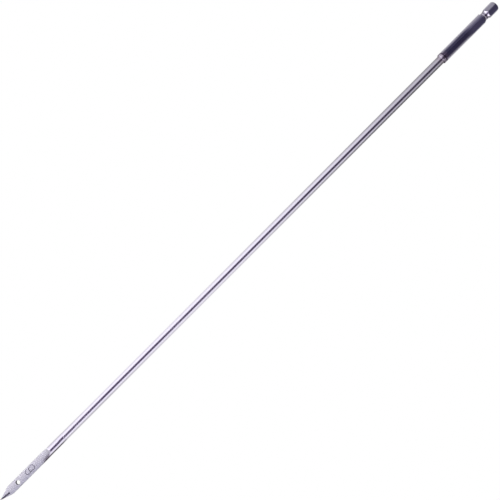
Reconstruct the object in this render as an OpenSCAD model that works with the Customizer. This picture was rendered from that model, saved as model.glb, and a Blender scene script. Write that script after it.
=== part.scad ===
// Long flat wood bit: hexagonal quick-change shank, round shaft and a forged flat blade.
// +X runs from the rear end of the shank to the point, +Z out of the marked face of the blade.
// The origin is the centre of the shank's rear end face. All sizes are in millimetres.

/* [Overall] */
// Length from the rear end of the shank to the point
overall_length = 450; // [300:10:600]

/* [Hexagonal shank] */
// Width across the flats of the drive hexagon
hex_af = 6.35; // [6.25:0.01:6.35]
// Length of the hexagon, from the rear end to the braze ring
hex_length = 46.9; // [40:0.1:60]
// Radius of the rounding around the rear end
end_round_r = 2.3; // [1.5:0.1:2.6]
// Distance from the rear end to the locking groove, along a corner
groove_start = 7.6; // [7:0.1:9]
// Length of the groove's long rear cone
groove_cone_length = 1.8; // [1:0.1:3]
// Length of the groove's straight neck
groove_neck_length = 2; // [0.8:0.1:2.5]
// Diameter of the groove's neck
groove_neck_d = 5.4; // [4.5:0.1:5.6]
// Length of the chamfer on the hexagon's front corners
front_chamfer = 0.4; // [0.2:0.1:0.8]

/* [Shaft] */
// Diameter of the round shaft
shaft_d = 5.6; // [5.2:0.1:5.8]
// Diameter of the spigot at the shaft's rear end
rear_spigot_d = 3.5; // [3:0.1:4]
// Length of the spigot at the shaft's rear end
rear_spigot_length = 14; // [8:0.5:18]

/* [Braze rings] */
// Diameter of the shaft's seat under the ring in front of the shank
ring_seat_d = 5; // [4.4:0.1:5]
// Diameter of the turned ring in front of the shank
ring_d = 6.9; // [6.6:0.1:7.2]
// Length of the ring's full-width part
ring_length = 2.4; // [1:0.1:3]
// Length of the ring's front chamfer
ring_chamfer = 0.7; // [0.4:0.1:1.2]
// Thickness of the ring between the shaft and the blade
blade_ring_length = 0.4; // [0.2:0.1:0.8]

/* [Blade] */
// Length from the point back to the end of the shaft
blade_length = 58.5; // [54:0.5:70]
// Cutting diameter of the bit
bit_d = 6; // [6:0.1:7]
// Thickness of the flat blade
blade_t = 1.8; // [1.6:0.1:2.2]
// Diameter of the round neck behind the blade
neck_d = 5.8; // [5.8:0.1:6]
// Diameter of the neck's rear end, where it meets the braze ring
neck_rear_d = 5.64; // [5.62:0.01:5.7]
// Length over which the neck flares to its full diameter
neck_flare = 4; // [2:0.5:8]
// Distance from the point to the front end of the forged ramps
ramp_end = 39.2; // [37:0.1:42]
// Radius of the concave ramps between the neck and the flats
ramp_r = 12; // [10:1:16]
// Diameter of the spigot at the blade's rear end
blade_spigot_d = 3; // [2.5:0.1:3.4]
// Length of the spigot at the blade's rear end
blade_spigot_length = 10; // [6:0.5:15]
// Distance from the point to the pull hole
hole_from_tip = 16.4; // [14:0.1:18]
// Diameter of the pull hole
hole_d = 3; // [2:0.1:3.4]

/* [Point] */
// Half angle of the point
point_half_angle = 18.5; // [16:0.5:22]
// Radius that blends the blade's sides into the point
shoulder_r = 9; // [6:0.5:12]
// Relief angle of the flank behind each cutting edge
relief_angle = 15; // [5:1:18]
// Distance from the point to the start of the ground pocket
pocket_length = 8.2; // [5:0.1:9]
// Depth of the ground pocket on the leading half of each face
pocket_depth = 0.5; // [0.3:0.05:0.6]
// Width of the pocket's sloping wall
pocket_wall = 0.85; // [0.3:0.05:1]
// Angle between the pocket's wall and the bit's axis
pocket_angle = 6; // [2:0.5:8]
// Distance that the pocket's wall passes beyond the axis at the point
pocket_overshoot = 0.35; // [0:0.05:0.5]

/* [Size mark] */
// Height of the stamped numeral, along the bit
mark_height = 7.8; // [6:0.1:8]
// Width of the stamped numeral
mark_width = 3.6; // [3:0.1:4]
// Length of the numeral's closed loop, along the bit
mark_loop = 4.8; // [4:0.1:5.5]
// Width of the stamped line
mark_line = 0.55; // [0.4:0.05:0.7]
// Depth of the stamped line
mark_depth = 0.15; // [0.1:0.05:0.3]
// Distance from the point to the middle of the numeral
mark_from_tip = 27.6; // [25:0.1:29]
// Sideways shift of the numeral off the bit's axis
mark_shift = 0.35; // [0:0.05:0.5]

/* [Hidden] */
$fn = 96;
cut = 1;
arc_steps = 12;
ramp_overrun = 8;
braze_gap = 0.05;
corner_r = hex_af / sqrt(3);
shaft_r = shaft_d / 2;
neck_r = neck_d / 2;
bit_r = bit_d / 2;
half_t = blade_t / 2;
ring_front = hex_length + ring_length + ring_chamfer;
shaft_end = overall_length - blade_length;
neck_start = shaft_end + blade_ring_length;
ramp_end_x = overall_length - ramp_end;
ramp_rise = neck_r - half_t;
ramp_start_x = ramp_end_x - sqrt(2 * ramp_r * ramp_rise - ramp_rise * ramp_rise);
shoulder_setback = shoulder_r * tan(point_half_angle / 2);
shoulder_x = overall_length - bit_r / tan(point_half_angle) - shoulder_setback;

// Points of an arc about a centre, from one angle to another.
function arc(centre, r, start, end) = [
    for (i = [0:arc_steps])
        let (a = start + (end - start) * i / arc_steps)
        centre + r * [cos(a), sin(a)]
];

// Turns a profile, drawn as distance along the bit and radius, around the bit's axis.
module turned() {
    rotate([0, 90, 0]) rotate_extrude() mirror([1, -1, 0]) children();
}

// Round bar along the bit, from station x0 to station x1.
module bar(x0, x1, r) {
    translate([x0, 0, 0]) rotate([0, 90, 0]) cylinder(h = x1 - x0, r = r);
}

// The same cut on both faces, half a turn apart about the bit's axis.
module both_faces() {
    children();
    rotate([180, 0, 0]) children();
}

// Envelope with the rounded rear end and the chamfered front corners.
module shank_envelope() {
    chamfer_x = hex_length - front_chamfer;
    turned() polygon(concat(
        [[0, 0]],
        arc([end_round_r, corner_r - end_round_r], end_round_r, 180, 90),
        [[end_round_r, corner_r + cut], [chamfer_x, corner_r + cut], [chamfer_x, corner_r]],
        [[hex_length, ring_d / 2], [hex_length, 0]]
    ));
}

// Locking groove for a quick-change chuck: long rear cone, neck and steep rounded front.
module locking_groove() {
    neck = groove_neck_d / 2;
    cone_end = groove_start + groove_cone_length;
    neck_end = cone_end + groove_neck_length;
    front_r = corner_r - neck;
    lead_in = groove_cone_length * cut / front_r;
    turned() polygon(concat(
        [[groove_start - lead_in, corner_r + cut], [cone_end, neck]],
        arc([neck_end, corner_r], front_r, -90, 0),
        [[neck_end + front_r, corner_r + cut]]
    ));
}

module hex_shank() {
    socket_r = rear_spigot_d / 2 + braze_gap;
    socket_start = hex_length - rear_spigot_length - braze_gap;
    color([0.23, 0.22, 0.30]) difference() {
        intersection() {
            rotate([0, 90, 0]) cylinder(h = hex_length, r = corner_r, $fn = 6);
            shank_envelope();
        }
        locking_groove();
        bar(socket_start, hex_length + cut, socket_r);
    }
}

module shaft() {
    socket_r = blade_spigot_d / 2 + braze_gap;
    socket_start = shaft_end - blade_spigot_length - braze_gap;
    color([0.78, 0.77, 0.82]) difference() {
        turned() polygon([
            [hex_length - rear_spigot_length, 0],
            [hex_length - rear_spigot_length, rear_spigot_d / 2],
            [hex_length, rear_spigot_d / 2],
            [hex_length, ring_seat_d / 2],
            [ring_front, ring_seat_d / 2],
            [ring_front, shaft_r],
            [shaft_end, shaft_r],
            [shaft_end, 0]
        ]);
        bar(socket_start, shaft_end + cut, socket_r);
    }
}

module shank_braze_ring() {
    color([0.74, 0.70, 0.76]) turned() polygon([
        [hex_length, ring_seat_d / 2],
        [hex_length, ring_d / 2],
        [hex_length + ring_length, ring_d / 2],
        [ring_front, shaft_r],
        [ring_front, ring_seat_d / 2]
    ]);
}

module blade_braze_ring() {
    color([0.74, 0.70, 0.76]) turned() polygon([
        [shaft_end, blade_spigot_d / 2],
        [shaft_end, shaft_r],
        [neck_start, neck_rear_d / 2],
        [neck_start, blade_spigot_d / 2]
    ]);
}

// Round stock of the blade: neck, a slight flare along the ramps, and the cutting diameter.
module blade_stock() {
    turned() polygon([
        [neck_start, 0],
        [neck_start, neck_rear_d / 2],
        [neck_start + neck_flare, neck_r],
        [ramp_start_x, neck_r],
        [ramp_end_x, bit_r],
        [overall_length, bit_r],
        [overall_length, 0]
    ]);
    bar(neck_start - blade_spigot_length - blade_ring_length, neck_start + cut, blade_spigot_d / 2);
}

// Material pressed off one side: a concave ramp that runs out into the flat.
module flat_cut() {
    ramp_angle = asin((ramp_end_x - ramp_start_x) / ramp_r) + ramp_overrun;
    ramp = arc([ramp_end_x, half_t + ramp_r], ramp_r, -90, -90 - ramp_angle);
    front_x = overall_length + cut;
    top = ramp[len(ramp) - 1][1];
    rotate([90, 0, 0]) linear_extrude(height = 2 * (bit_r + cut), center = true)
        polygon(concat([[front_x, half_t]], ramp, [[front_x, top]]));
}

// Everything outside the point's outline, on the side away from +Y.
module outline_cut() {
    outer_y = -bit_r - cut;
    front_x = overall_length + cut;
    shoulder = arc([shoulder_x, shoulder_r - bit_r], shoulder_r, -90, point_half_angle - 90);
    linear_extrude(height = 2 * bit_r, center = true) polygon(concat(
        [[shoulder_x, outer_y]],
        shoulder,
        [[overall_length, 0], [front_x, 0], [front_x, outer_y]]
    ));
}

// Flank ground back from the cutting edge on the same side, tilted about the point.
module relief_cut() {
    flank_length = 2 * bit_r / sin(point_half_angle);
    translate([overall_length, 0, 0])
        rotate([0, 0, 180 + point_half_angle])
        rotate([relief_angle, 0, 0])
        translate([-cut, 0, -blade_t]) cube([flank_length, bit_r, 2 * blade_t]);
}

// Pocket ground into the leading half of the marked face, with a sloping wall beside the axis.
module pocket_cut() {
    translate([overall_length, -pocket_overshoot, half_t])
        rotate([0, 0, -pocket_angle])
        translate([-pocket_length, 0, 0]) rotate([90, 0, 90])
        linear_extrude(height = pocket_length + cut) polygon([
            [-pocket_wall, pocket_depth],
            [pocket_wall, -pocket_depth],
            [bit_r + cut, -pocket_depth],
            [bit_r + cut, pocket_depth]
        ]);
}

// Closed outline with round ends, for the numeral's loop.
module loop_shape(x0, x1, r) {
    translate([x0, 0]) circle(r = r);
    translate([x1, 0]) circle(r = r);
    translate([x0, -r]) square([x1 - x0, 2 * r]);
}

// Plain numeral 6, reading upright with the point upwards.
module numeral() {
    r = mark_width / 2;
    inner_r = r - mark_line;
    foot_x = r - mark_height / 2;
    loop_top_x = foot_x + mark_loop - 2 * r;
    hook_x = mark_height / 2 - r;
    difference() {
        loop_shape(foot_x, loop_top_x, r);
        loop_shape(foot_x, loop_top_x, inner_r);
    }
    translate([foot_x, inner_r]) square([hook_x - foot_x, mark_line]);
    translate([hook_x - mark_line, -r]) square([mark_line, mark_line]);
    intersection() {
        translate([hook_x, 0]) difference() {
            circle(r = r);
            circle(r = inner_r);
        }
        translate([hook_x, -r]) square([r, 2 * r]);
    }
}

module size_mark_cut() {
    translate([overall_length - mark_from_tip, -mark_shift, half_t - mark_depth])
        linear_extrude(height = mark_depth + cut) numeral();
}

module blade() {
    color([0.70, 0.69, 0.76]) difference() {
        blade_stock();
        both_faces() flat_cut();
        both_faces() outline_cut();
        both_faces() relief_cut();
        both_faces() pocket_cut();
        size_mark_cut();
        translate([overall_length - hole_from_tip, 0, 0]) cylinder(h = bit_d, d = hole_d, center = true);
    }
}

hex_shank();
shaft();
blade();
shank_braze_ring();
blade_braze_ring();
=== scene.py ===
"""Looks for the long flat wood bit.

Named lengths are in millimetres, except under a comment that says metres. Nodes work in metres.
"""

import math

import bmesh
import bpy
import numpy as np
from mathutils import Matrix, Vector


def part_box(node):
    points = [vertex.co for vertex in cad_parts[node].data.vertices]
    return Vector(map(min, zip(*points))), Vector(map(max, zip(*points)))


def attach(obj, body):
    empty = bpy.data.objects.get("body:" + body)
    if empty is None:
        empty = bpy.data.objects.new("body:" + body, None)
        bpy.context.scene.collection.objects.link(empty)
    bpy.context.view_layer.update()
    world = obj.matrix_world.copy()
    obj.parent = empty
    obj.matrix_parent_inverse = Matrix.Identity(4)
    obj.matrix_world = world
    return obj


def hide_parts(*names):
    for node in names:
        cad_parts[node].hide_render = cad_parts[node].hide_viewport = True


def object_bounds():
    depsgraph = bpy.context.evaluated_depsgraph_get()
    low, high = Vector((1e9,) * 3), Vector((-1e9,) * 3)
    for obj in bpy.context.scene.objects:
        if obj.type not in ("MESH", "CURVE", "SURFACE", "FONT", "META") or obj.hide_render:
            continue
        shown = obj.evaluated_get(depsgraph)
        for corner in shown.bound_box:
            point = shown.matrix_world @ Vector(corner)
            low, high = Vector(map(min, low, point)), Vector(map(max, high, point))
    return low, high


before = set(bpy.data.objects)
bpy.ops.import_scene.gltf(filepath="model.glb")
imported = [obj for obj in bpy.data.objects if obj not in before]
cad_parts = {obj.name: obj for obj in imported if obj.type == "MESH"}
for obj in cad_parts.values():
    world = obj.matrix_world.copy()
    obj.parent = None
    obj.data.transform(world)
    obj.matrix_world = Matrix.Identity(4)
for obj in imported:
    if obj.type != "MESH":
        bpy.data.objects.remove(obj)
CAD_LOW, CAD_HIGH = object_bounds()

MM = 0.001
TAU = 2 * math.pi


def box_mm(node):
    """Lowest and highest corner of a CAD node, in millimetres."""
    low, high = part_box(node)
    return np.array(low) / MM, np.array(high) / MM


HEX_HIGH = box_mm("hex_shank")[1]
RING_LOW, RING_HIGH = box_mm("shank_braze_ring")
SHAFT_LOW, SHAFT_HIGH = box_mm("shaft")
SEAM_HIGH = box_mm("blade_braze_ring")[1]
BLADE_LOW, BLADE_HIGH = box_mm("blade")

# Shank, as in the CAD.
HALF_SECTOR = math.radians(30)
HEX_FLAT = HEX_HIGH[1]
HEX_CORNER = HEX_FLAT / math.cos(HALF_SECTOR)
HEX_END = HEX_HIGH[0]
END_ROUND_R = 2.3
GROOVE_START = 7.6
GROOVE_CONE_END = 9.4
GROOVE_NECK_END = 11.4
GROOVE_NECK_R = 2.7
FRONT_CHAMFER = 0.4
SPIGOT_R = 1.75
SPIGOT_START = SHAFT_LOW[0]
SOCKET_GAP = 0.05

# Shaft and rings, as in the CAD.
SHAFT_R = SHAFT_HIGH[1]
SHAFT_END = SHAFT_HIGH[0]
SEAT_R = 2.5
RING_R = RING_HIGH[1]
RING_START = RING_LOW[0]
RING_STEP = RING_LOW[0] + 2.4
RING_END = RING_HIGH[0]

# Blade, as in the CAD.
TIP = BLADE_HIGH[0]
BIT_R = BLADE_HIGH[1]
HALF_T = 0.9
NECK_START = SEAM_HIGH[0]
NECK_REAR_R = 2.82
NECK_R = 2.9
NECK_FLARE_END = NECK_START + 4.0
BLADE_SPIGOT_R = 1.5
BLADE_SPIGOT_START = BLADE_LOW[0]
RAMP_R = 12.0
RAMP_END = TIP - 39.2
RAMP_RISE = NECK_R - HALF_T
RAMP_START = RAMP_END - math.sqrt(2 * RAMP_R * RAMP_RISE - RAMP_RISE ** 2)
POINT_ANGLE = math.radians(18.5)
SHOULDER_R = 9.0
SHOULDER_X = TIP - BIT_R / math.tan(POINT_ANGLE) - SHOULDER_R * math.tan(POINT_ANGLE / 2)
RELIEF_ANGLE = math.radians(15)
POCKET_LENGTH = 8.2
POCKET_DEPTH = 0.5
POCKET_ANGLE = math.radians(6)
POCKET_OVERSHOOT = 0.35
POCKET_WALL = 0.85
HOLE_X = TIP - 16.4
HOLE_R = 1.5
MARK_X = TIP - 27.6
MARK_Y = -0.35
MARK_DEPTH = 0.15
MARK_HALF_LINE = 0.275
MARK_R = 1.8 - MARK_HALF_LINE
MARK_FOOT = -2.1
MARK_LOOP_TOP = -0.9
MARK_HOOK = 2.1

# Small roundings and chamfers that only the visual model has.
HEX_EDGE_R = 0.22
SOCKET_CHAMFER = 0.1
HOLE_CHAMFER = 0.1

# How finely the meshes are divided and shaded. The angles are in degrees, and MARK_REACH is how far
# from the numeral's middle the closest stations run.
MARK_REACH = 4.3
BAR_SEGMENTS = 160
HOLE_SEGMENTS = 96
SMOOTH_ANGLE = 35
BLADE_SMOOTH_ANGLE = 32
HALVINGS = 26


# ---------------------------------------------------------------- mesh tools

def smooth_min(a, b, k):
    """The lower of a and b, with the corner between them rounded over a width k."""
    h = np.clip(0.5 + 0.5 * (b - a) / k, 0, 1)
    return b * (1 - h) + a * h - k * h * (1 - h)


def smooth_max(a, b, k):
    """The higher of a and b, with the corner rounded in the same way."""
    return -smooth_min(-a, -b, k)


def ramp01(value, start, end):
    """0 before start, 1 after end, smooth between."""
    t = np.clip((value - start) / (end - start), 0, 1)
    return t * t * (3 - 2 * t)


def spans(*parts):
    """Stations from (start, end, step) parts, without repeats."""
    out = []
    for start, end, step in parts:
        count = max(1, round((end - start) / step))
        out.extend(start + (end - start) * i / count for i in range(count))
    out.append(parts[-1][1])
    return np.array(out)


def add_object(name, coordinates, faces, smooth_angle=SMOOTH_ANGLE):
    """New mesh object from millimetre coordinates, shaded smooth except across sharp edges."""
    mesh = bpy.data.meshes.new(name)
    mesh.from_pydata([tuple(p) for p in np.asarray(coordinates) * MM], [], faces)
    mesh.validate()
    obj = bpy.data.objects.new(name, mesh)
    bpy.context.scene.collection.objects.link(obj)
    shade(obj, smooth_angle)
    return obj


def shade(obj, smooth_angle):
    """Points every face outwards, and shades it smooth except across edges sharper than smooth_angle."""
    bm = bmesh.new()
    bm.from_mesh(obj.data)
    bmesh.ops.recalc_face_normals(bm, faces=bm.faces)
    limit = math.radians(smooth_angle)
    for face in bm.faces:
        face.smooth = True
    for edge in bm.edges:
        edge.smooth = edge.calc_face_angle(0) < limit
    bm.to_mesh(obj.data)
    bm.free()


def skin(name, rings, poles, smooth_angle=SMOOTH_ANGLE):
    """Closed surface over a stack of equal rings.

    poles holds the two end points. It is None where the last ring joins the first.
    """
    rings = np.asarray(rings)
    count, around = rings.shape[:2]
    coordinates = rings.reshape(-1, 3)
    faces = []
    column = np.arange(around)
    following = (column + 1) % around
    stacks = count if poles is None else count - 1
    for i in range(stacks):
        a, b = i * around, ((i + 1) % count) * around
        faces.extend(zip(a + column, b + column, b + following, a + following))
    if poles is not None:
        first, last = len(coordinates), len(coordinates) + 1
        coordinates = np.vstack([coordinates, poles])
        end = (count - 1) * around
        faces.extend((first, int(c), int(n)) for c, n in zip(column, following))
        faces.extend((last, int(end + n), int(end + c)) for c, n in zip(column, following))
    faces = [tuple(int(v) for v in f) for f in faces]
    return add_object(name, coordinates, faces, smooth_angle)


def rounded_profile(corners, steps=5):
    """Points of a profile with its corners rounded. corners are (x, r, fillet radius)."""
    out = []
    last = len(corners) - 1
    for i, (x, r, fillet) in enumerate(corners):
        here = np.array([x, r])
        if fillet == 0 or i in (0, last):
            out.append(here)
            continue
        back = np.array(corners[i - 1][:2]) - here
        ahead = np.array(corners[i + 1][:2]) - here
        back /= np.linalg.norm(back)
        ahead /= np.linalg.norm(ahead)
        half = math.acos(np.clip(back @ ahead, -1, 1)) / 2
        start = here + back * fillet / math.tan(half)
        end = here + ahead * fillet / math.tan(half)
        middle = (back + ahead) / np.linalg.norm(back + ahead)
        centre = here + middle * fillet / math.sin(half)
        for j in range(steps + 1):
            spoke = (start - centre) * (1 - j / steps) + (end - centre) * j / steps
            out.append(centre + spoke / np.linalg.norm(spoke) * fillet)
    return np.array(supported(out))


def supported(points, inset=0.08):
    """Adds a point near both ends of every long side, which keeps its shading flat."""
    out = [points[0]]
    for start, end in zip(points, points[1:]):
        length = np.linalg.norm(end - start)
        if length > 4 * inset:
            step = (end - start) * inset / length
            out.extend([start + step, end - step])
        out.append(end)
    return out


def swept_rings(x, radius, angle):
    """Rings round the X axis, one for each row of x and radius, with a point at every angle."""
    rings = np.empty((len(x), len(angle), 3))
    rings[:, :, 0] = x
    rings[:, :, 1] = radius * np.cos(angle)
    rings[:, :, 2] = radius * np.sin(angle)
    return rings


def turned_rings(profile, segments):
    """Round rings at the (x, r) points of a profile."""
    angle = np.arange(segments) * TAU / segments
    return swept_rings(profile[:, :1], profile[:, 1:], angle)


def turned_solid(name, corners):
    """Solid of revolution. The profile starts and ends on the axis."""
    profile = rounded_profile(corners)
    poles = [(profile[0][0], 0, 0), (profile[-1][0], 0, 0)]
    return skin(name, turned_rings(profile[1:-1], BAR_SEGMENTS), poles)


def turned_ring(name, corners):
    """Ring of revolution. The profile is a closed loop that starts half way along one side."""
    profile = rounded_profile(corners)[:-1]
    return skin(name, turned_rings(profile, BAR_SEGMENTS), None)


def add_attribute(obj, name, values):
    """Stores one value for each point of the mesh, for the materials to read."""
    layer = obj.data.attributes.new(name, "FLOAT", "POINT")
    layer.data.foreach_set("value", np.asarray(values, np.float32))


# ---------------------------------------------------------------- hexagonal shank

def hexagon_radius(offset):
    """Radius of the hexagon at an angle from its nearest corner, with the corner rounded."""
    centre = (HEX_FLAT - HEX_EDGE_R) / math.cos(HALF_SECTOR)
    flat = HEX_FLAT / np.cos(HALF_SECTOR - np.abs(offset))
    tangent = math.atan2(HEX_EDGE_R * math.sin(HALF_SECTOR), centre + HEX_EDGE_R * math.cos(HALF_SECTOR))
    near = np.minimum(np.abs(offset), tangent)
    bend = centre * np.cos(near) + np.sqrt(HEX_EDGE_R ** 2 - (centre * np.sin(near)) ** 2)
    return np.where(np.abs(offset) < tangent, bend, flat)


def envelope_radius(x):
    """Turned outline of the shank: rounded rear end, and chamfered front corners."""
    into = np.clip(END_ROUND_R - x, 0, END_ROUND_R)
    rear = HEX_CORNER - END_ROUND_R + np.sqrt(END_ROUND_R ** 2 - into ** 2)
    chamfer = (x - (HEX_END - FRONT_CHAMFER)) / FRONT_CHAMFER
    front = HEX_CORNER - np.clip(chamfer, 0, 1) * (HEX_CORNER - RING_R)
    return np.minimum(rear, front)


def groove_radius(x):
    """Outline of the locking groove: long rear cone, neck and steep rounded front.

    In front of the groove it stands clear of the hexagon.
    """
    neck_blend, clearance = 0.25, 1
    slope = (HEX_CORNER - GROOVE_NECK_R) / (GROOVE_CONE_END - GROOVE_START)
    cone = HEX_CORNER - (x - GROOVE_START) * slope
    front_r = HEX_CORNER - GROOVE_NECK_R
    into = np.clip(x - GROOVE_NECK_END, 0, front_r)
    front = HEX_CORNER - np.sqrt(front_r ** 2 - into ** 2)
    front = np.where(x > GROOVE_NECK_END + front_r, HEX_CORNER + clearance, front)
    return np.maximum(smooth_max(cone, np.full_like(x, GROOVE_NECK_R), neck_blend), front)


def corner_offsets():
    """Angles from a corner over one sector of the hexagon, closer together near the corner."""
    half_count, crowding = 20, 1.8
    share = np.arange(-half_count, half_count) / half_count
    return HALF_SECTOR * np.sign(share) * np.abs(share) ** crowding


def shank_stations():
    """Places along the shank, close together round the rear end, in the groove and at the front chamfer."""
    rear_angle = np.linspace(0, math.pi / 2, 26)[:-1]
    rear = END_ROUND_R * (1 - np.cos(rear_angle))
    groove_front = GROOVE_NECK_END + HEX_CORNER - GROOVE_NECK_R
    return np.concatenate([rear, spans(
        (END_ROUND_R, GROOVE_START - 0.2, 0.7),
        (GROOVE_START - 0.2, GROOVE_CONE_END + 0.4, 0.06),
        (GROOVE_CONE_END + 0.4, GROOVE_NECK_END, 0.1),
        (GROOVE_NECK_END, groove_front - 0.25, 0.05),
        (groove_front - 0.25, groove_front + 0.12, 0.015),
        (groove_front + 0.12, HEX_END - FRONT_CHAMFER - 0.15, 1.5),
        (HEX_END - FRONT_CHAMFER - 0.15, HEX_END, 0.04),
    )])


def shank_socket():
    """The (x, r) points of the front face and of the socket that takes the shaft's spigot."""
    face_r = 2.6
    socket_r = SPIGOT_R + SOCKET_GAP
    return np.array([
        [HEX_END, face_r],
        [HEX_END, socket_r + SOCKET_CHAMFER],
        [HEX_END - SOCKET_CHAMFER, socket_r],
        [SPIGOT_START - SOCKET_GAP, socket_r],
    ])


def build_shank():
    """Hexagonal shank, with values that mark its turned parts and its worn edges."""
    edge_blend, groove_blend, clear = 0.1, 0.05, 0.2
    wear_degrees, wear_width, rim_wear = 1.6, 0.05, 0.8
    offset = corner_offsets()
    offsets = np.tile(offset, 6)
    angle = np.concatenate([offset + math.radians(90 + 60 * i) for i in range(6)])
    stations = shank_stations()[:, None]
    hexagon = hexagon_radius(offsets)[None, :]
    body = smooth_min(hexagon, envelope_radius(stations), edge_blend)
    groove = groove_radius(stations)
    radius = smooth_min(body, groove, groove_blend)
    radius = np.where(groove > HEX_CORNER + clear, body, radius)
    socket = shank_socket()
    bore = swept_rings(socket[:, :1], socket[:, 1:], angle)
    rings = np.concatenate([swept_rings(stations, radius, angle), bore])
    poles = [(0, 0, 0), (socket[-1][0], 0, 0)]
    obj = skin("hex_shank_body", rings, poles)
    turned = ramp01(body - groove, -0.01, 0.03)
    corner = np.exp(-(np.degrees(offsets) / wear_degrees) ** 2)[None, :] * np.ones_like(stations)
    rim = np.exp(-((body - groove) / wear_width) ** 2)
    wear = np.clip(corner + rim_wear * rim, 0, 1)
    rest = np.zeros(bore.shape[0] * bore.shape[1] + len(poles))
    add_attribute(obj, "turned", np.concatenate([turned.ravel(), rest]))
    add_attribute(obj, "wear", np.concatenate([wear.ravel(), rest]))
    return obj


# ---------------------------------------------------------------- shaft and rings

def build_shaft():
    """Shaft with its rear spigot, the seat under the ring and the front socket."""
    socket_r = BLADE_SPIGOT_R + SOCKET_GAP
    socket_start = BLADE_SPIGOT_START - SOCKET_GAP
    return turned_solid("round_shaft", [
        (SPIGOT_START, 0, 0),
        (SPIGOT_START, SPIGOT_R, 0.2),
        (RING_START, SPIGOT_R, 0.05),
        (RING_START, SEAT_R, 0.05),
        (RING_END, SEAT_R, 0.05),
        (RING_END, SHAFT_R, 0.06),
        (SHAFT_END, SHAFT_R, 0.06),
        (SHAFT_END, socket_r, 0.1),
        (socket_start, socket_r, 0.1),
        (socket_start, 0, 0),
    ])


def build_shank_ring():
    """Ring of filler on the shaft's seat, with its chamfer down to the shaft."""
    middle = (RING_START + RING_STEP) / 2
    return turned_ring("shank_braze_collar", [
        (middle, RING_R, 0),
        (RING_STEP, RING_R, 0.3),
        (RING_END, SHAFT_R, 0.08),
        (RING_END, SEAT_R, 0.03),
        (RING_START, SEAT_R, 0.03),
        (RING_START, RING_R, 0.14),
        (middle, RING_R, 0),
    ])


def build_blade_ring():
    """Thin ring of filler round the blade's spigot, slightly crowned."""
    middle = (SHAFT_END + NECK_START) / 2
    crown, edge_drop = 0.006, 0.02
    return turned_ring("blade_braze_seam", [
        (middle, SHAFT_R + crown, 0),
        (NECK_START, NECK_REAR_R - edge_drop, 0.04),
        (NECK_START, BLADE_SPIGOT_R, 0.03),
        (SHAFT_END, BLADE_SPIGOT_R, 0.03),
        (SHAFT_END, SHAFT_R - edge_drop, 0.04),
        (middle, SHAFT_R + crown, 0),
    ])


# ---------------------------------------------------------------- blade

def stock_radius(x):
    """Radius of the round bar that the blade is cut from."""
    stations = [NECK_START, NECK_FLARE_END, RAMP_START, RAMP_END, TIP]
    return np.interp(x, stations, [NECK_REAR_R, NECK_R, NECK_R, BIT_R, BIT_R])


def outside_flat(x, z):
    """Distance outside the flat and the concave ramp behind it."""
    steepest = RAMP_R * 0.95
    back = np.clip(RAMP_END - x, 0, steepest)
    fall = np.sqrt(RAMP_R ** 2 - back ** 2)
    height = HALF_T + RAMP_R - fall
    return (z - height) * fall / RAMP_R


def outside_outline(x, y):
    """Distance outside the point's outline, on the side away from +Y."""
    along, across = x - SHOULDER_X, y - (SHOULDER_R - BIT_R)
    turn = np.arctan2(along, -across)
    line = (x - TIP) * math.sin(POINT_ANGLE) - y * math.cos(POINT_ANGLE)
    curve = np.hypot(along, across) - SHOULDER_R
    return np.where(turn <= 0, -y - BIT_R, np.where(turn < POINT_ANGLE, curve, line))


def outside_relief(x, y, z):
    """Distance outside the ground flank behind the cutting edge."""
    outward = (x - TIP) * math.sin(POINT_ANGLE) - y * math.cos(POINT_ANGLE)
    return outward * math.cos(RELIEF_ANGLE) + z * math.sin(RELIEF_ANGLE)


def pocket_place(x, y, z):
    """A point's place in the +Z face's ground pocket: along it, off its sloping wall, up from the face."""
    dx, dy = x - TIP, y + POCKET_OVERSHOOT
    along = dx * math.cos(POCKET_ANGLE) - dy * math.sin(POCKET_ANGLE)
    across = dx * math.sin(POCKET_ANGLE) + dy * math.cos(POCKET_ANGLE)
    up = z - HALF_T
    off_wall = (across * POCKET_DEPTH + up * POCKET_WALL) / math.hypot(POCKET_DEPTH, POCKET_WALL)
    return along + POCKET_LENGTH, off_wall, up


def outside_pocket(x, y, z, k):
    """Distance outside the metal that the ground pocket leaves on the leading half of the +Z face."""
    along, off_wall, up = pocket_place(x, y, z)
    inner = smooth_min(off_wall, up + POCKET_DEPTH, k)
    return smooth_min(inner, along, 1.5 * k)


def pocket_wall_share(x, y, z):
    """1 on the pocket's sloping wall and 0 elsewhere."""
    along, off_wall, up = pocket_place(x, y, z)
    on_wall = 1 - ramp01(np.abs(off_wall), 0.03, 0.09)
    above_floor = 1 - ramp01(-up, POCKET_DEPTH - 0.02, POCKET_DEPTH + 0.02)
    between = ramp01(-up, -0.01, 0.03) * above_floor
    return on_wall * between * ramp01(along, 0.0, 0.1)


def outside_blade(x, y, z, k):
    """Distance outside the blade at points (x, y, z), with edges rounded over a width k."""
    side = np.hypot(y, z) - stock_radius(x)
    side = np.maximum(side, outside_outline(x, y))
    side = np.maximum(side, outside_outline(x, -y))
    side = smooth_max(side, outside_relief(x, y, z), 0.5 * k)
    side = smooth_max(side, outside_relief(x, -y, -z), 0.5 * k)
    faces = np.maximum(outside_flat(x, z), outside_flat(x, -z))
    out = smooth_max(side, faces, k)
    out = smooth_max(out, outside_pocket(x, y, z, k), k)
    return smooth_max(out, outside_pocket(x, -y, -z, k), k)


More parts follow.
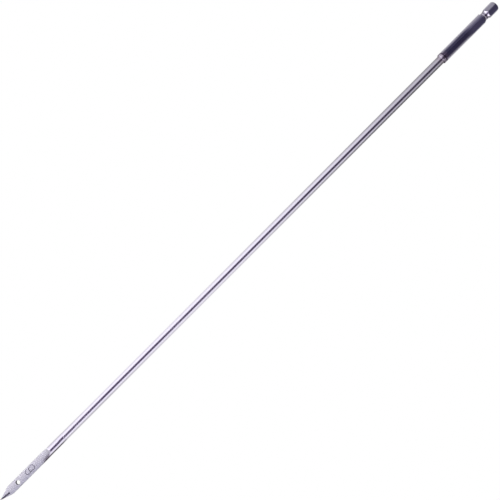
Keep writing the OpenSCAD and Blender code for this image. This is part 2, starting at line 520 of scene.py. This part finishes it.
def blade_sections(x, angle):
    """Radius of the blade at every station and angle, found by halving. Edges get sharper at the point."""
    keen, full, growth, margin = 0.003, 0.11, 0.12, 0.3
    cosine, sine = np.cos(angle)[None, :], np.sin(angle)[None, :]
    stations = x[:, None]
    k = np.clip((TIP - stations) * growth, keen, full)
    low = np.zeros((len(x), len(angle)))
    high = np.full_like(low, BIT_R + margin)
    for _ in range(HALVINGS):
        middle = (low + high) / 2
        inside = outside_blade(stations, middle * cosine, middle * sine, k) < 0
        low = np.where(inside, middle, low)
        high = np.where(inside, high, middle)
    return (low + high) / 2


def respaced(y, z, counts):
    """Points of a closed section, closer together where it turns. Each quarter keeps its own count."""
    reach, turn_weight, sharpest = 4, 0.4, 0.5
    window = 2 * reach + 1
    quarter = len(y) // 4
    step = np.hypot(np.roll(y, -1) - y, np.roll(z, -1) - z)
    heading = np.unwrap(np.arctan2(np.roll(z, -1) - z, np.roll(y, -1) - y))
    turn = np.abs(np.diff(heading, append=heading[-1]))
    wrapped = np.concatenate([turn[-reach:], turn, turn[:reach]])
    turn = np.convolve(wrapped, np.ones(window) / window, mode="valid")
    weight = step + turn_weight * np.clip(turn, 0, sharpest)
    out_y, out_z = [], []
    y_loop, z_loop = np.append(y, y[0]), np.append(z, z[0])
    for i, count in enumerate(counts):
        part = slice(i * quarter, (i + 1) * quarter)
        length = np.concatenate([[0], np.cumsum(weight[part])])
        want = np.arange(count) / count * length[-1]
        index = np.arange(i * quarter, (i + 1) * quarter + 1)
        place = np.interp(want, length, index)
        out_y.append(np.interp(place, np.arange(len(y_loop)), y_loop))
        out_z.append(np.interp(place, np.arange(len(z_loop)), z_loop))
    return np.concatenate(out_y), np.concatenate(out_z)


def segment_distance(x, y, x0, x1, level):
    """Distance from a line that runs from x0 to x1 at y = level."""
    return np.hypot(x - np.clip(x, x0, x1), y - level)


def numeral_distance(x, y):
    """Distance from the middle of the stamped line of a plain numeral 6."""
    loop = np.abs(segment_distance(x, y, MARK_FOOT, MARK_LOOP_TOP, 0) - MARK_R)
    stem = segment_distance(x, y, MARK_FOOT, MARK_HOOK, MARK_R)
    lip = segment_distance(x, y, MARK_HOOK - 2 * MARK_HALF_LINE, MARK_HOOK, -MARK_R)
    behind = np.clip(MARK_HOOK - x, 0, None) * 10
    hook = np.abs(np.hypot(x - MARK_HOOK, y) - MARK_R) + behind
    return np.minimum(np.minimum(loop, stem), np.minimum(lip, hook))


def stamped_depth(distance):
    """Depth of the stamped line, with a low raised rim where the metal was pushed aside."""
    rim_height, rim_width = 0.012, 0.08
    groove = MARK_DEPTH * (1 - ramp01(distance, 0.3 * MARK_HALF_LINE, 1.05 * MARK_HALF_LINE))
    rim = rim_height * np.exp(-((distance - 1.35 * MARK_HALF_LINE) / rim_width) ** 2)
    return groove - rim


def blade_stations():
    """Places along the blade, close together where its shape changes and under the numeral."""
    return spans(
        (NECK_START + 0.04, NECK_START + 0.2, 0.08),
        (NECK_START + 0.2, RAMP_START - 0.6, 0.8),
        (RAMP_START - 0.6, RAMP_START + 0.8, 0.1),
        (RAMP_START + 0.8, RAMP_END + 0.3, 0.2),
        (RAMP_END + 0.3, MARK_X - MARK_REACH, 0.6),
        (MARK_X - MARK_REACH, MARK_X + MARK_REACH, 0.065),
        (MARK_X + MARK_REACH, SHOULDER_X - 1, 0.8),
        (SHOULDER_X - 1, TIP - 8.7, 0.2),
        (TIP - 8.7, TIP - 7.8, 0.03),
        (TIP - 7.8, TIP - 2, 0.12),
        (TIP - 2, TIP - 0.3, 0.06),
        (TIP - 0.3, TIP - 0.02, 0.02),
    )


def blade_rings():
    """Cross-sections of the blade, with more points on the +Z half, where the numeral is."""
    fine, counts = 1440, (62, 62, 32, 32)
    angle = np.arange(fine) * TAU / fine
    stations = blade_stations()
    radius = blade_sections(stations, angle)
    rings = []
    for i, station in enumerate(stations):
        y, z = respaced(radius[i] * np.cos(angle), radius[i] * np.sin(angle), counts)
        rings.append(np.stack([np.full_like(y, station), y, z], 1))
    return np.array(rings)


def blade_spigot(ring):
    """Rings of the rear spigot, with their points in line with those of the neck's first ring."""
    chamfer, edge_round = 0.2, 0.05
    spokes = ring[:, 1:] / np.linalg.norm(ring[:, 1:], axis=1)[:, None]
    profile = (
        (BLADE_SPIGOT_START, BLADE_SPIGOT_R - chamfer),
        (BLADE_SPIGOT_START + chamfer, BLADE_SPIGOT_R),
        (NECK_START, BLADE_SPIGOT_R),
        (NECK_START, NECK_REAR_R - edge_round),
    )
    return [np.column_stack([np.full(len(spokes), x), spokes * r]) for x, r in profile]


def build_blade():
    """Blade with its stamped numeral, and values that mark the stamp and the pockets' walls, where shade is
    painted.
    """
    rings = blade_rings()
    x, y = rings[:, :, 0], rings[:, :, 1]
    top = ramp01(rings[:, :, 2], HALF_T - 0.03, HALF_T - 0.005)
    distance = numeral_distance(x - MARK_X, y - MARK_Y)
    near = np.abs(x - MARK_X) < MARK_REACH + 0.2
    rings[:, :, 2] -= np.where(near, stamped_depth(distance) * top, 0)
    spigot = blade_spigot(rings[0])
    poles = [(BLADE_SPIGOT_START, 0, 0), (TIP, 0, 0)]
    blade = skin("flat_blade", np.concatenate([spigot, rings]), poles, 180)
    pressed = 1 - ramp01(distance, 0.6 * MARK_HALF_LINE, 1.7 * MARK_HALF_LINE)
    stamp = np.where(near, pressed * top, 0)
    z = rings[:, :, 2]
    wall = pocket_wall_share(x, y, z) + pocket_wall_share(x, -y, -z)
    before, after = np.zeros(len(spigot) * rings.shape[1]), np.zeros(len(poles))
    add_attribute(blade, "stamp", np.concatenate([before, stamp.ravel(), after]))
    add_attribute(blade, "wall", np.concatenate([before, wall.ravel(), after]))
    drill_hole(blade)
    shade(blade, BLADE_SMOOTH_ANGLE)
    return blade


def drill_hole(blade):
    """Cuts the pull hole, with a small chamfer at both rims."""
    reach = 0.4
    rows = [  # (z, r)
        (-HALF_T - reach, HOLE_R + HOLE_CHAMFER + reach),
        (-HALF_T + HOLE_CHAMFER, HOLE_R),
        (HALF_T - HOLE_CHAMFER, HOLE_R),
        (HALF_T + reach, HOLE_R + HOLE_CHAMFER + reach),
    ]
    rings = turned_rings(np.array(rows), HOLE_SEGMENTS)
    standing = np.stack([HOLE_X + rings[:, :, 1], rings[:, :, 2], rings[:, :, 0]], 2)
    poles = [(HOLE_X, 0, rows[0][0]), (HOLE_X, 0, rows[-1][0])]
    cutter = skin("hole_cutter", standing, poles)
    cut = blade.modifiers.new("hole", "BOOLEAN")
    cut.operation = "DIFFERENCE"
    cut.solver = "EXACT"
    cut.object = cutter
    bpy.context.view_layer.update()
    evaluated = blade.evaluated_get(bpy.context.evaluated_depsgraph_get())
    result = bpy.data.meshes.new_from_object(evaluated)
    blade.modifiers.clear()
    blade.data = result
    bpy.data.objects.remove(cutter)


# ---------------------------------------------------------------- material tools

# Stretches along X over which a look comes in, from none to full, in metres.
HEAT_TINT = (0.0545, 0.0503)
SHAFT_POLISH = (0.28, 0.38)
# Painted reflection: over this stretch the shank's oxide turns darker.
REFLECTION_DARKENING = (0.023, 0.031)
BRAZE_TINT = (0.0436, 0.0466)
# Painted reflections: light bands along the shank's -Y edge, its +Y flank and its rear.
REFLECTION_NARROWING = (0.020, 0.028)
FLANK_REFLECTION = (0.022, 0.030)
REAR_REFLECTION = (0.0125, 0.0060)
# Painted shade: over this stretch the groove's neck turns darker than its cone.
NECK_SHADE = (0.0090, 0.0100)
# Dark scale on the blade's narrow sides, which also paints their dark reflection.
DARK_EDGE_START = (0.3900, 0.3965)
DARK_EDGE_NARROWING = (0.4100, 0.4150)
# Painted shade on the +Y side of the blade's concave ramp.
RAMP_SHADE_START = (0.4040, 0.4065)
RAMP_SHADE_END = (0.4092, 0.4140)

# More places in the looks, in metres: the painted highlight in the groove's neck, the end of the ring's
# oxide, and how far from its axis the painted shade in the pull hole starts.
NECK_HIGHLIGHT_X = 0.0110
OXIDE_END = 0.0479
HOLE_SHADE = (0.00158, 0.00152)


class Graph:
    """Short way to write a node tree."""

    def __init__(self, tree):
        self.tree = tree
        tree.nodes.clear()

    def add(self, kind, inputs=None, **settings):
        """New node. inputs maps a socket's name or number to a value, or to the socket to link from."""
        node = self.tree.nodes.new(kind)
        for key, value in settings.items():
            setattr(node, key, value)
        for key, value in (inputs or {}).items():
            if isinstance(value, bpy.types.NodeSocket):
                self.tree.links.new(value, node.inputs[key])
            else:
                node.inputs[key].default_value = value
        return node

    def math(self, operation, *values):
        inputs = dict(enumerate(values))
        return self.add("ShaderNodeMath", inputs, operation=operation).outputs[0]

    def times(self, a, b):
        return self.math("MULTIPLY", a, b)

    def plus(self, a, b):
        return self.math("ADD", a, b)

    def minus(self, a, b):
        return self.math("SUBTRACT", a, b)

    def higher(self, a, b):
        return self.math("MAXIMUM", a, b)

    def ramp(self, value, low, high, out_low=0.0, out_high=1.0):
        """out_low at low and out_high at high, smooth between and level outside."""
        inputs = {0: value, 1: low, 2: high, 3: out_low, 4: out_high}
        node = self.add("ShaderNodeMapRange", inputs, interpolation_type="SMOOTHSTEP")
        return node.outputs[0]

    def mix(self, factor, a, b):
        """Mixes two colours."""
        node = self.add("ShaderNodeMix", data_type="RGBA")
        for index, value in ((0, factor), (6, a), (7, b)):
            if isinstance(value, bpy.types.NodeSocket):
                self.tree.links.new(value, node.inputs[index])
            else:
                node.inputs[index].default_value = value
        return node.outputs[2]

    def place(self):
        """The point shaded, and its x and y, in metres in the row frame."""
        point = self.add("ShaderNodeTexCoord").outputs["Object"]
        parts = self.add("ShaderNodeSeparateXYZ", {0: point}).outputs
        return point, parts[0], parts[1]

    def noise(self, point, stretch, detail=2.0, rough=0.5):
        """Noise between 0 and 1. stretch multiplies the point, per metre."""
        spread = self.add("ShaderNodeVectorMath", {0: point, 1: stretch}, operation="MULTIPLY").outputs[0]
        inputs = {"Vector": spread, "Scale": 1.0, "Detail": detail, "Roughness": rough}
        return self.add("ShaderNodeTexNoise", inputs).outputs[0]

    def bump(self, height, distance_mm, strength):
        inputs = {"Height": height, "Distance": distance_mm * MM, "Strength": strength}
        return self.add("ShaderNodeBump", inputs).outputs[0]

    def attribute(self, name):
        """The values that add_attribute stored under this name."""
        return self.add("ShaderNodeAttribute", attribute_name=name).outputs["Fac"]

    def metal(self, colour, roughness, normal):
        """Bare metal as the material's surface."""
        inputs = {"Base Color": colour, "Roughness": roughness, "Metallic": 1.0, "Normal": normal}
        shader = self.add("ShaderNodeBsdfPrincipled", inputs).outputs[0]
        self.add("ShaderNodeOutputMaterial", {"Surface": shader})


def new_material(name):
    """Material with an empty node tree, and the graph to fill it with."""
    material = bpy.data.materials.new(name)
    material.use_nodes = True
    return material, Graph(material.node_tree)


def ground_shaft_material():
    """Centreless-ground steel: fine marks round the bar, and a few faint handling scratches."""
    material, g = new_material("ground_bar_steel")
    point, x, _ = g.place()
    marks = g.noise(point, (5200, 160, 160), detail=3)
    scratches = g.noise(point, (90, 2600, 2600), detail=2)
    scratch_mask = g.ramp(g.noise(point, (60, 240, 240)), 0.55, 0.72)
    cloud = g.noise(point, (45, 260, 260), detail=3)
    height = g.plus(marks, g.times(scratches, scratch_mask))
    normal = g.bump(height, 0.0006, 0.3)
    colour = g.mix(cloud, (0.82, 0.785, 0.875, 1), (0.89, 0.86, 0.94, 1))
    colour = g.mix(g.ramp(marks, 0.40, 0.62, 0.0, 0.2), colour, (0.60, 0.57, 0.65, 1))
    scratched = g.times(g.ramp(scratches, 0.60, 0.66, 0.0, 0.3), scratch_mask)
    colour = g.mix(scratched, colour, (0.45, 0.42, 0.50, 1))
    heat = g.ramp(x, *HEAT_TINT)
    colour = g.mix(g.times(heat, 0.5), colour, (0.62, 0.50, 0.56, 1))
    rough = g.times(g.ramp(cloud, 0.2, 0.8, 0.15, 0.24), g.ramp(x, *SHAFT_POLISH, 1.0, 0.6))
    rough = g.times(rough, g.ramp(marks, 0.35, 0.65, 0.85, 1.15))
    g.metal(colour, rough, normal)
    return material


def shank_material():
    """Dark oxide on drawn hexagon bar, worn at the corners, with a bright groove, a brazing tint and
    painted reflections, shade and highlight.
    """
    material, g = new_material("dark_oxide_steel")
    point, x, y = g.place()
    draw_lines = g.noise(point, (30, 2600, 2600), detail=3)
    speckle = g.noise(point, (3800, 3800, 3800), detail=4, rough=0.6)
    cloud = g.noise(point, (120, 500, 500), detail=3)
    oxide = g.mix(cloud, (0.155, 0.145, 0.255, 1), (0.215, 0.20, 0.335, 1))
    # Painted reflection: the oxide turns darker part way along the shank.
    darkened_oxide = g.mix(cloud, (0.058, 0.053, 0.115, 1), (0.090, 0.082, 0.165, 1))
    reflection_darkening = g.ramp(g.plus(x, g.times(cloud, 0.004)), *REFLECTION_DARKENING)
    oxide = g.mix(reflection_darkening, oxide, darkened_oxide)
    oxide = g.mix(g.ramp(draw_lines, 0.42, 0.66, 0.0, 0.16), oxide, (0.24, 0.22, 0.30, 1))
    oxide = g.mix(g.ramp(speckle, 0.56, 0.70, 0.0, 0.2), oxide, (0.34, 0.31, 0.40, 1))
    tint = g.times(g.ramp(x, *BRAZE_TINT), g.ramp(cloud, 0.2, 0.8, 0.6, 1.0))
    oxide = g.mix(tint, oxide, (0.15, 0.110, 0.175, 1))
    # Painted reflections: light bands, in patches, along the -Y edge, the +Y flank and the rear of the
    # hexagon.
    start = g.ramp(x, *REFLECTION_NARROWING, -0.0001, -0.0011)
    width = g.ramp(x, *REFLECTION_NARROWING, -0.0026, -0.0017)
    painted_reflection = g.ramp(g.minus(y, start), 0.0, width)
    patchy = g.higher(g.ramp(cloud, 0.2, 0.8, 0.60, 0.85), g.ramp(y, -0.0012, -0.0027))
    painted_reflection = g.times(painted_reflection, patchy)
    flank = g.times(g.ramp(y, 0.0020, 0.0032, 0.0, 0.75), g.ramp(x, *FLANK_REFLECTION))
    rear = g.times(g.ramp(x, *REAR_REFLECTION, 0.0, 0.7), g.ramp(y, 0.0008, -0.0008))
    painted_reflection = g.higher(g.higher(painted_reflection, rear), flank)
    oxide = g.mix(painted_reflection, oxide, (0.76, 0.73, 0.82, 1))
    wear = g.times(g.attribute("wear"), g.ramp(speckle, 0.35, 0.7, 0.12, 0.24))
    worn = g.mix(wear, oxide, (0.55, 0.52, 0.60, 1))
    turned = g.attribute("turned")
    # Painted shade: the groove's neck is darker than its cone, and darker still towards +Y.
    neck = g.mix(g.ramp(y, 0.0008, 0.0020), (0.60, 0.56, 0.67, 1), (0.25, 0.22, 0.29, 1))
    groove = g.mix(g.ramp(x, *NECK_SHADE), (0.80, 0.76, 0.86, 1), neck)
    # Painted highlight: a light line round the front of the groove's neck, where the metal is also rougher.
    rim = g.ramp(g.math("ABSOLUTE", g.minus(x, NECK_HIGHLIGHT_X)), 0.0002, 0.0005, 1.0, 0.0)
    groove = g.mix(rim, groove, (0.86, 0.82, 0.92, 1))
    colour = g.mix(turned, worn, groove)
    lines = g.noise(point, (7000, 250, 250), detail=2)
    lined = g.times(turned, g.ramp(lines, 0.40, 0.62, 0.0, 0.2))
    colour = g.mix(lined, colour, (0.22, 0.20, 0.26, 1))
    height = g.mix(turned, draw_lines, lines)
    normal = g.bump(height, 0.003, 0.5)
    rough = g.plus(g.times(turned, -0.21), g.ramp(cloud, 0.2, 0.8, 0.30, 0.40))
    rough = g.plus(rough, g.times(g.times(turned, rim), 0.45))
    g.metal(colour, rough, normal)
    return material


def blade_material():
    """Ground flats with fine cross marks, darker forging scale and painted dark reflection on the narrow
    sides, and a polished neck.
    """
    material, g = new_material("ground_blade_steel")
    point, x, y = g.place()
    marks = g.noise(point, (4200, 190, 190), detail=3)
    grain = g.noise(point, (3500, 3500, 3500), detail=3, rough=0.6)
    cloud = g.noise(point, (140, 260, 260), detail=3)
    height = g.plus(g.times(marks, 0.7), g.times(grain, 0.3))
    clean = g.mix(cloud, (0.95, 0.95, 0.995, 1), (0.995, 0.985, 1.0, 1))
    # The flats turn darker towards +Y.
    clean = g.mix(g.ramp(y, -0.0028, 0.0028, 0.0, 0.8), clean, (0.60, 0.60, 0.68, 1))
    clean = g.mix(g.ramp(marks, 0.40, 0.62, 0.0, 0.11), clean, (0.52, 0.50, 0.58, 1))
    clean = g.mix(g.ramp(grain, 0.55, 0.70, 0.0, 0.10), clean, (0.45, 0.43, 0.50, 1))
    # Dark scale on the narrow sides of the blade and neck, which also paints the dark reflection along
    # their edges.
    reach = g.ramp(x, *DARK_EDGE_NARROWING, 0.00225, 0.00290)
    side = g.ramp(g.minus(y, reach), 0.0, 0.00035)
    side = g.higher(side, g.ramp(y, -0.00270, -0.00290))
    side = g.times(side, g.ramp(cloud, 0.3, 0.7, 0.85, 1.0))
    side = g.times(side, g.ramp(x, *DARK_EDGE_START, 0.25, 1.0))
    # Painted shade inside the pull hole.
    along_squared = g.math("POWER", g.minus(x, HOLE_X * MM), 2)
    from_axis = g.math("SQRT", g.plus(along_squared, g.math("POWER", y, 2)))
    bore = g.ramp(from_axis, *HOLE_SHADE)
    scale = (0.10, 0.085, 0.105, 1)
    # Painted shade on the +Y side of the concave ramp.
    ramp_shade = g.times(g.ramp(y, 0.0003, 0.0019, 0.0, 0.95), g.ramp(x, *RAMP_SHADE_START))
    ramp_shade = g.times(ramp_shade, g.ramp(x, *RAMP_SHADE_END, 1.0, 0.0))
    clean = g.mix(ramp_shade, clean, (0.30, 0.27, 0.32, 1))
    # Painted shade on the pockets' sloping walls.
    clean = g.mix(g.times(g.attribute("wall"), 0.9), clean, (0.10, 0.09, 0.13, 1))
    colour = g.mix(side, clean, scale)
    colour = g.mix(bore, colour, (0.045, 0.04, 0.06, 1))
    # Painted shade in the stamped numeral's groove, deeper towards +Y.
    stamp = g.mix(g.ramp(y, 0.0, 0.001), (0.30, 0.28, 0.37, 1), (0.16, 0.14, 0.20, 1))
    colour = g.mix(g.times(g.attribute("stamp"), 0.6), colour, stamp)
    edge = g.ramp(y, 0.0006, 0.0023, RAMP_START * MM + 0.0003, RAMP_START * MM + 0.0032)
    polish = g.ramp(g.minus(x, edge), 0.0007, -0.0007)
    neck_colour = g.mix(side, (0.80, 0.765, 0.855, 1), scale)
    colour = g.mix(polish, colour, neck_colour)
    rough = g.ramp(polish, 0, 1, 0.55, 0.09)
    height = g.times(height, g.ramp(polish, 0, 1, 1.0, 0.35))
    g.metal(colour, rough, g.bump(height, 0.0004, 0.2))
    return material


def braze_material(name, dull, clean, stain=0.0, dark_end=0.0):
    """Silver braze, turned after brazing.

    stain is how much flux stain is left on the +Y side. The braze is dark with oxide up to x = dark_end.
    """
    blur = 0.0003  # metres
    material, g = new_material(name)
    point, x, y = g.place()
    lines = g.noise(point, (8000, 220, 220), detail=2)
    cloud = g.noise(point, (900, 900, 900), detail=3)
    colour = g.mix(cloud, dull, clean)
    colour = g.mix(g.ramp(y, -0.001, 0.002, 0.0, stain), colour, (0.16, 0.11, 0.17, 1))
    colour = g.mix(g.ramp(lines, 0.42, 0.60, 0.0, 0.22), colour, (0.40, 0.34, 0.42, 1))
    edge = g.plus(x, g.ramp(cloud, 0.2, 0.8, -0.0002, 0.0002))
    rear = g.ramp(edge, dark_end + blur, dark_end - blur)
    # Oxide at the joint, thinned out towards -Y, which paints light on that side of the collar.
    oxide = g.times(rear, g.ramp(y, -0.0032, -0.0020, 0.2, 1.0))
    colour = g.mix(oxide, colour, (0.12, 0.09, 0.15, 1))
    g.metal(colour, g.ramp(cloud, 0.2, 0.8, 0.22, 0.34), g.bump(lines, 0.002, 0.5))
    return material


def dress(obj, node, material):
    """Gives a piece its material, and puts it in the CAD node's place on the root body."""
    obj.data.materials.clear()
    obj.data.materials.append(material)
    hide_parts(node)
    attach(obj, "root")


# ---------------------------------------------------------------- studio

# Angles are in radians. The camera's places, and the floor's size and gap, are in metres.
STRIP_ROLL = math.radians(21)
FLOOR_HALF = 2.0
FLOOR_GAP = 0.00005
CAMERA_TILT = math.radians(9)
CAMERA_DISTANCE = 0.494
CAMERA_X = 0.2229
CAMERA_Y = -0.00026
CAMERA_ROLL = 0.0006
LENS = 55.336

# Direction of the bit's axis in the picture: how much of it runs left, and how much down.
RUN_LEFT = 0.70658
RUN_DOWN = 0.70763


def build_studio_sky():
    """Soft light from both sides of a dark strip overhead, brighter towards the point.

    The camera sees plain white.
    """
    world = bpy.data.worlds.new("studio")
    bpy.context.scene.world = world
    world.use_nodes = True
    g = Graph(world.node_tree)
    ray = g.add("ShaderNodeTexCoord").outputs["Generated"]
    parts = g.add("ShaderNodeSeparateXYZ", {0: ray}).outputs
    along, across, up = parts[0], parts[1], parts[2]
    middle = g.ramp(along, 0.05, 0.25, STRIP_ROLL, STRIP_ROLL - math.radians(11))
    middle = g.plus(middle, g.ramp(along, 0.295, 0.325, 0.0, math.radians(10)))
    roll = g.minus(g.math("ARCTAN2", across, up), middle)
    off = g.math("ABSOLUTE", roll)
    far_side = g.ramp(roll, math.radians(-12), math.radians(12))
    far = g.times(g.ramp(along, -0.70, 0.12, 0.20, 1.12), g.ramp(off, 1.05, 1.35, 1.0, 0.72))
    near = g.times(g.ramp(along, -0.55, 0.12, 0.56, 1.26), g.ramp(off, 1.05, 1.75, 1.0, 0.76))
    far = g.times(far, far_side)
    near = g.times(near, g.minus(1.0, far_side))
    opening = g.ramp(off, math.radians(13), math.radians(44))
    soft = g.times(g.plus(far, near), opening)
    soft = g.times(soft, g.ramp(along, 0.5, 0.85, 1.0, 0.7))
    soft = g.times(soft, g.ramp(along, -0.33, -0.16, 0.78, 1.0))
    patch = g.times(g.ramp(along, 0.375, 0.405), g.ramp(along, 0.43, 0.47, 1.0, 0.0))
    overhead = g.plus(g.ramp(along, -0.3, 0.25, 0.035, 0.085), g.times(patch, 3.45))
    level = g.higher(soft, overhead)
    tone = g.mix(g.higher(opening, patch), (0.97, 0.80, 1.25, 1), (0.955, 0.945, 1.0, 1))
    glow = g.add("ShaderNodeBackground", {"Color": tone, "Strength": level}).outputs[0]
    white = g.add("ShaderNodeBackground", {"Color": (1, 1, 1, 1), "Strength": 1.0}).outputs[0]
    seen = g.add("ShaderNodeLightPath").outputs["Is Camera Ray"]
    mixed = g.add("ShaderNodeMixShader", {0: seen, 1: glow, 2: white}).outputs[0]
    g.add("ShaderNodeOutputWorld", {"Surface": mixed})


def build_floor():
    """Pale floor just under the bit, which hides nothing from below.

    It looks plain white to the camera, and lights the bit more towards the point.
    """
    corners = [(-1, -1), (1, -1), (1, 1), (-1, 1)]
    middle = CAD_HIGH[0] / 2
    level = CAD_LOW[2] - FLOOR_GAP
    coordinates = np.array([(middle + a * FLOOR_HALF, b * FLOOR_HALF, level) for a, b in corners]) / MM
    floor = add_object("floor", coordinates, [(0, 1, 2, 3)])
    material, g = new_material("pale_floor")
    _, x, y = g.place()
    far = g.times(g.ramp(x, 0.07, 0.26, 0.15, 0.80), g.ramp(x, 0.30, 0.37, 1.0, 0.80))
    beside = g.times(g.ramp(x, 0.0472, 0.0488, 0.54, 0.0), g.ramp(y, 0.012, 0.018, 1.0, 0.0))
    far = g.higher(far, beside)
    near = g.times(g.ramp(x, 0.04, 0.32, 0.36, 0.98), g.ramp(x, 0.370, 0.390, 1.0, 0.78))
    far_side = g.ramp(y, -0.001, 0.001)
    far = g.times(far, far_side)
    near = g.times(near, g.minus(1.0, far_side))
    reflected = g.plus(far, near)
    seen = g.add("ShaderNodeLightPath").outputs["Is Camera Ray"]
    strength = g.plus(g.times(reflected, g.minus(1.0, seen)), seen)
    glow = g.add("ShaderNodeEmission", {"Color": (1, 1, 1, 1), "Strength": strength}).outputs[0]
    clear = g.add("ShaderNodeBsdfTransparent").outputs[0]
    below = g.add("ShaderNodeNewGeometry").outputs["Backfacing"]
    mixed = g.add("ShaderNodeMixShader", {0: below, 1: glow, 2: clear}).outputs[0]
    g.add("ShaderNodeOutputMaterial", {"Surface": mixed})
    floor.data.materials.append(material)


def build_camera():
    """Camera above the bit, tilted a little towards +Y. The bit runs down the picture's diagonal."""
    data = bpy.data.cameras.new("camera")
    data.lens = LENS
    data.sensor_width = 36
    data.clip_start = 0.01
    data.clip_end = 20
    camera = bpy.data.objects.new("camera", data)
    bpy.context.scene.collection.objects.link(camera)
    back = Vector((0, math.sin(CAMERA_TILT), math.cos(CAMERA_TILT)))
    across = Vector((0, -math.cos(CAMERA_TILT), math.sin(CAMERA_TILT)))
    along = Vector((1, 0, 0))
    right = -RUN_LEFT * along - RUN_DOWN * across
    up = -RUN_DOWN * along + RUN_LEFT * across
    turn = Matrix((right, up, back)).transposed().to_4x4() @ Matrix.Rotation(CAMERA_ROLL, 4, "Z")
    place = Vector((CAMERA_X, CAMERA_Y, 0)) + back * CAMERA_DISTANCE
    camera.matrix_world = Matrix.Translation(place) @ turn
    bpy.context.scene.camera = camera


dress(build_shank(), "hex_shank", shank_material())
dress(build_shaft(), "shaft", ground_shaft_material())
dress(build_blade(), "blade", blade_material())
collar = braze_material("silver_braze", (0.69, 0.605, 0.715, 1), (0.83, 0.765, 0.885, 1), 0.45, OXIDE_END)
seam = braze_material("ground_braze", (0.74, 0.70, 0.78, 1), (0.80, 0.77, 0.85, 1))
dress(build_shank_ring(), "shank_braze_ring", collar)
dress(build_blade_ring(), "blade_braze_ring", seam)
build_studio_sky()
build_floor()
build_camera()
bpy.context.scene.view_settings.view_transform = "Standard"
